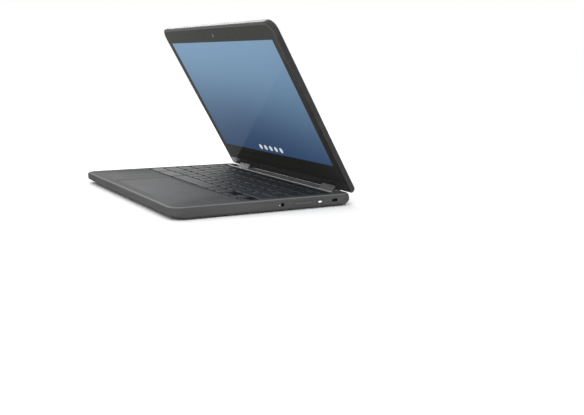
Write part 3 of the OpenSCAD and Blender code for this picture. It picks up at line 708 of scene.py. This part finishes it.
LEGENDS = {
    "keys_function_row": ("esc", "<", ">", "o", "[ ]", "||", "-", "+", "x", "-", "+", "i", "."),
    "keys_number_row": "`1234567890-=",
    "key_backspace": ("back",),
    "key_tab": ("tab",),
    "keys_upper_row": "QWERTYUIOP[]\\",
    "key_search": ("find",),
    "keys_home_row": "ASDFGHJKL;'",
    "key_enter": ("enter",),
    "key_shift_left": ("shift",),
    "keys_lower_row": "ZXCVBNM,./",
    "key_shift_right": ("shift",),
    "key_ctrl_left": ("ctrl",),
    "key_alt_left": ("alt",),
    "keys_alt_ctrl_right": ("alt", "ctrl"),
    "key_arrow_left": ("<",),
    "key_arrow_up": ("^",),
    "key_arrow_down": ("v",),
    "key_arrow_right": (">",),
}


# a key that is less deep than this takes smaller letters
SHORT_KEY = 10 * MM
LEGEND_INSET = 2.2 * MM


class LAPTOP_OT_legends(bpy.types.Operator):
    """Print plain letters on the key caps"""

    bl_idname = "laptop.legends"
    bl_label = "Key Legends"

    def execute(self, context):
        sizes, colours = context.scene.laptop_sizes, context.scene.laptop_colours
        graph = Graph("legend_print", Specular_IOR_Level=0.4)
        fade = graph.noise(graph.place(), 700.0, detail=3.0)
        ink = tuple(colours.legend)
        graph.set(Base_Color=graph.mix([c * 0.8 for c in ink], ink, fade.step(0.3, 0.6)),
                  Roughness=0.5 + (fade - 0.5) * 0.1)
        for node, words in LEGENDS.items():
            builder = bmesh.new()
            for (low, high), word in zip(islands(node), words):
                tall = sizes.legend_height * (1.0 if len(word) == 1 and word.isupper() else 0.85)
                if high.y - low.y < SHORT_KEY:
                    tall *= 0.7
                corner = Vector((low.x + LEGEND_INSET, high.y - LEGEND_INSET - tall, high.z))
                add_word(builder, word, tall, corner, sizes.key_dish)
            new_piece(node + "_legends", mesh_from(builder, node + "_legends"),
                      graph.material, node, smooth=None)
        return {"FINISHED"}


def add_word(builder, word, tall, corner, dish):
    """Adds a word as thin raised print, its lower left at the corner."""
    curve = bpy.data.curves.new("word", "FONT")
    curve.body = word
    curve.size = tall * 1.4
    curve.resolution_u = 2
    curve.offset = tall * 0.01
    holder = bpy.data.objects.new("word", curve)
    bpy.context.scene.collection.objects.link(holder)
    bpy.context.view_layer.update()
    flat = bpy.data.meshes.new_from_object(holder)
    lift = Matrix.Translation(corner + Vector((0, 0, 0.02 * MM - dish * 0.55)))
    flat.transform(lift)
    builder.from_mesh(flat)
    bpy.data.objects.remove(holder)
    bpy.data.curves.remove(curve)
    bpy.data.meshes.remove(flat)


class LAPTOP_OT_touchpad(bpy.types.Operator):
    """Build the touchpad with its chamfered edge"""

    bl_idname = "laptop.touchpad"
    bl_label = "Touchpad"

    def execute(self, context):
        sizes, colours = context.scene.laptop_sizes, context.scene.laptop_colours
        material = moulded_plastic("pad_smooth", tuple(colours.pad), 0.52,
                                   grain=0.12 * MM, depth=0.003 * MM, wear=0.2, specular=0.015)
        builder = bmesh.new()
        top = PAD_HIGH.z
        centre = Vector((0, PAD_LOW.y + PAD_DEPTH / 2, 0))
        rounded_slab(builder, centre, PAD_HIGH.x - PAD_LOW.x, PAD_DEPTH, 2.2 * MM,
                     top - 1.4 * MM, top, sizes.pad_edge, corner_steps=8, edge_steps=2)
        new_piece("touchpad_surface", mesh_from(builder, "touchpad_surface"), material,
                  "touchpad", ["touchpad"], smooth=math.radians(20))
        return {"FINISHED"}


class LAPTOP_OT_trim(bpy.types.Operator):
    """Build the deck's ridge and rear lip, the back of the lock slot and the power light"""

    bl_idname = "laptop.trim"
    bl_label = "Trim and Power Light"

    def execute(self, context):
        # painted highlight: the ridge is pale grey to stand in for the light caught along its
        # edge
        ridge = moulded_plastic("ridge_painted_highlight", (0.50, 0.50, 0.50), 0.34,
                                grain=0.2 * MM, depth=0.004 * MM, wear=0.2)
        builder = bmesh.new()
        rounded_slab(builder, Vector((0, RIDGE_Y, 0)), RIDGE_WIDTH, RIDGE_DEPTH, 0.5 * MM,
                     DECK_HIGH.z - 0.5 * MM, DECK_HIGH.z + 0.35 * MM, 0.4 * MM,
                     corner_steps=4)
        new_piece("deck_ridge", mesh_from(builder, "deck_ridge"), ridge, "base")

        # the closed back of the lock slot
        low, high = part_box("lock_slot_insert")
        builder = bmesh.new()
        rounded_slab(builder, Vector((low.x - 0.5 * MM, (low.y + high.y) / 2, 0)), 0.5 * MM,
                     high.y - low.y + 3 * MM, 0.2 * MM, low.z, high.z, 0.1 * MM,
                     corner_steps=4)
        backing = moulded_plastic("slot_black", (0.010, 0.010, 0.011), 0.6)
        new_piece("lock_slot_back", mesh_from(builder, "lock_slot_back"), backing, "base")

        # the low lip between the barrels: painted shade, a near-black strip put where the hinge
        # gap lies in shade
        lip = soft_rubber("lip_painted_shade", (0.012, 0.012, 0.012), 0.7)
        builder = bmesh.new()
        rounded_slab(builder, Vector((0, AXIS_LOW.y + LIP_BACK, 0)), LIP_WIDTH, LIP_DEPTH,
                     0.5 * MM, DECK_HIGH.z - 0.6 * MM, AXIS_LOW.z + LIP_RISE, 0.4 * MM,
                     corner_steps=4)
        new_piece("rear_lip", mesh_from(builder, "rear_lip"), lip, "base")

        # the lit end of the power button, a slab stood on its edge to face outwards
        low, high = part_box("power_button")
        middle = Vector((high.x, (low.y + high.y) / 2, (low.z + high.z) / 2))
        builder = bmesh.new()
        rounded_slab(builder, Vector((0, 0, 0)), 3.4 * MM, 1.3 * MM, 0.6 * MM,
                     -0.2 * MM, 0.06 * MM, 0.1 * MM, corner_steps=6)
        stand = Matrix.Translation(middle) @ Matrix((
            (0, 0, 1, 0), (1, 0, 0, 0), (0, 1, 0, 0), (0, 0, 0, 1)))
        new_piece("power_light", mesh_from(builder, "power_light", stand),
                  light_pipe("power_light_pipe", 1.6), "power_button")
        return {"FINISHED"}


class LAPTOP_OT_display(bpy.types.Operator):
    """Finish the display glass with its lit picture, and what lies behind it"""

    bl_idname = "laptop.display"
    bl_label = "Display"

    def execute(self, context):
        colours = context.scene.laptop_colours
        dress("display_glass", display_glass_material(colours))
        dress("lcd_panel", moulded_plastic("panel_film", (0.03, 0.03, 0.032), 0.3))
        dress("webcam_module", moulded_plastic("camera_black", (0.012, 0.012, 0.014), 0.25))
        dress("wifi_antennas", worked_metal("antenna_foil", (0.66, 0.60, 0.48), 0.3))
        dress("display_cable_lid", moulded_plastic("cable_film_lid", (0.02, 0.02, 0.022), 0.4))
        dress("lid_badge", worked_metal("badge_satin", (0.5, 0.5, 0.51), 0.28))
        return {"FINISHED"}


class LAPTOP_OT_small_parts(bpy.types.Operator):
    """Finish the feet, screws, buttons, sockets, hinges and the inner pieces"""

    bl_idname = "laptop.small_parts"
    bl_label = "Small Parts"

    def execute(self, context):
        steel = worked_metal("hinge_steel_satin", (0.32, 0.32, 0.33), 0.36)
        nickel = worked_metal("socket_nickel", (0.52, 0.52, 0.53), 0.26)
        black = moulded_plastic("inner_black", (0.014, 0.014, 0.015), 0.5)
        barrel = moulded_plastic("barrel_satin", (0.020, 0.020, 0.021), 0.42,
                                 grain=0.3 * MM, depth=0.012 * MM)
        button = moulded_plastic("button_satin", (0.050, 0.050, 0.051), 0.42,
                                 grain=0.2 * MM, depth=0.008 * MM)
        brass = worked_metal("gear_brass_satin", (0.60, 0.44, 0.16), 0.3)
        board = circuit_board("board_green", (0.012, 0.085, 0.04))
        finishes = {
            "rubber_feet": soft_rubber("foot_black", (0.018, 0.018, 0.018), 0.7),
            "cover_screws": worked_metal("screw_dark_zinc", (0.24, 0.24, 0.25), 0.3),
            "keyboard_backplate": worked_metal("backplate_satin", (0.55, 0.57, 0.60), 0.35),
            "key_dome_sheet": soft_rubber("dome_silicone", (0.46, 0.46, 0.43), 0.5),
            "mainboard": board, "side_button_board": board, "wifi_card": board,
            "heat_spreader": worked_metal("spreader_copper", (0.62, 0.33, 0.19), 0.3),
            "battery_pack": moulded_plastic("battery_film", (0.02, 0.02, 0.022), 0.45),
            "speakers": black, "audio_jack": black, "display_cable_base": black,
            "side_board_ribbon": moulded_plastic("ribbon_film", (0.6, 0.56, 0.46), 0.4),
            "usb_c_port": nickel, "usb_a_port": nickel, "hdmi_port": nickel,
            "card_slot": nickel, "lock_slot_insert": black,
            "touchpad_support": worked_metal("support_satin", (0.5, 0.52, 0.54), 0.38),
            "hinge_base_brackets": steel, "hinge_lid_brackets": steel,
            "hinge_link_plates": steel,
            "idler_gears_lower": brass, "idler_gears_upper": brass,
            "hinge_barrel_left": barrel, "hinge_barrel_right": barrel,
            "power_button": button, "volume_rocker": button,
        }
        for node, material in finishes.items():
            dress(node, material)
        dress("status_light", light_pipe("status_light_pipe", 0.15))
        return {"FINISHED"}


def light_pipe(name, glow):
    """Clear plastic end of a light pipe, faintly lit."""
    graph = Graph(name, Roughness=0.2, Emission_Strength=glow)
    cloud = graph.noise(graph.place(), 900.0, detail=2.0)
    tone = graph.mix((0.70, 0.72, 0.72), (0.92, 0.93, 0.92), cloud.step(0.3, 0.7))
    graph.set(Base_Color=tone, Emission_Color=tone)
    return graph.material


class LAPTOP_OT_stage(bpy.types.Operator):
    """Set up the pale floor, the soft lights and the camera"""

    bl_idname = "laptop.stage"
    bl_label = "Studio"

    def execute(self, context):
        stage, scene = context.scene.laptop_stage, context.scene
        scene.view_settings.view_transform = "Standard"
        builder = bmesh.new()
        bmesh.ops.create_grid(builder, x_segments=8, y_segments=8, size=14)
        mesh = bpy.data.meshes.new("floor")
        builder.to_mesh(mesh)
        builder.free()
        floor = bpy.data.objects.new("floor", mesh)
        scene.collection.objects.link(floor)
        graph = Graph("floor_paper", Roughness=0.9, Specular_IOR_Level=0.1)
        place = graph.place()
        tooth = graph.noise(place, 900.0, detail=2.0)
        away = graph.vector("LENGTH", place, output="Value")
        tone = stage.floor_tone
        graph.set(Base_Color=graph.mix((tone * 0.99,) * 3, (tone,) * 3, tooth),
                  Alpha=away.step(2.3, 0.55))
        mesh.materials.append(graph.material)

        scene.world = studio_world(stage)
        softbox(scene, "side_softbox", (-1.75, 0.12, 1.08), 1.1, stage.side_light)
        softbox(scene, "front_softbox", (0.62, -0.62, 0.72), 0.5, stage.front_light)

        data = bpy.data.cameras.new("camera")
        data.lens = stage.lens
        data.sensor_width = 36.0
        data.clip_start, data.clip_end = 0.01, 100.0
        camera = bpy.data.objects.new("camera", data)
        scene.collection.objects.link(camera)
        camera.location = Vector((0, BASE_MIDDLE_Y, DECK_HIGH.z)) + Vector(stage.eye)
        turn = Matrix.Rotation(stage.yaw, 3, "Z")
        turn = turn @ Matrix.Rotation(math.pi / 2 - stage.pitch, 3, "X")
        turn = turn @ Matrix.Rotation(stage.roll, 3, "Z")
        camera.rotation_euler = turn.to_euler()
        scene.camera = camera
        return {"FINISHED"}


def studio_world(stage):
    """A white room: bright round the horizon and overhead, dimmer walls between."""
    world = bpy.data.worlds.new("studio")
    world.use_nodes = True
    tree = world.node_tree
    tree.nodes.clear()
    output = tree.nodes.new("ShaderNodeOutputWorld")
    background = tree.nodes.new("ShaderNodeBackground")
    tree.links.new(background.outputs["Background"], output.inputs["Surface"])
    graph = Graph.within(tree)
    height = graph.split(graph.node("ShaderNodeTexCoord", output="Generated"))[2]
    graph.feed(background.inputs["Color"], profile(
        graph, height, (0.0, stage.horizon), (0.080, stage.horizon), (0.24, stage.shade),
        (0.42, stage.shade), (0.80, stage.overhead)))
    return world


def softbox(scene, name, place, size, power):
    """A square area light that points at the laptop."""
    data = bpy.data.lights.new(name, "AREA")
    data.energy = power
    data.size = size
    light = bpy.data.objects.new(name, data)
    scene.collection.objects.link(light)
    light.location = place
    aim = Vector((0, 0, 0.08)) - Vector(place)
    light.rotation_euler = aim.to_track_quat("-Z", "Y").to_euler()


class LAPTOP_PT_panel(bpy.types.Panel):
    """Lists the steps and the settings in the sidebar"""

    bl_idname = "LAPTOP_PT_panel"
    bl_label = "Convertible Laptop"
    bl_space_type = "VIEW_3D"
    bl_region_type = "UI"
    bl_category = "Laptop"

    def draw(self, context):
        layout, scene = self.layout, context.scene
        for operator in STEPS:
            layout.operator(operator.bl_idname)
        for group in (scene.laptop_colours, scene.laptop_sizes, scene.laptop_stage):
            column = layout.column(align=True)
            for name in group.__annotations__:
                column.prop(group, name)


STEPS = (LAPTOP_OT_stage, LAPTOP_OT_shells, LAPTOP_OT_keys, LAPTOP_OT_legends,
         LAPTOP_OT_touchpad, LAPTOP_OT_trim, LAPTOP_OT_display, LAPTOP_OT_small_parts)
GROUPS = {"laptop_colours": LaptopColours, "laptop_sizes": LaptopSizes,
          "laptop_stage": LaptopStage}
CLASSES = (*GROUPS.values(), *STEPS, LAPTOP_PT_panel)


def register():
    for one in CLASSES:
        bpy.utils.register_class(one)
    for name, group in GROUPS.items():
        setattr(bpy.types.Scene, name, PointerProperty(type=group))


def unregister():
    for name in GROUPS:
        delattr(bpy.types.Scene, name)
    for one in reversed(CLASSES):
        bpy.utils.unregister_class(one)


def main():
    """Runs every step in order."""
    register()
    for step in STEPS:
        group, name = step.bl_idname.split(".")
        getattr(getattr(bpy.ops, group), name)()


if __name__ == "__main__":
    main()
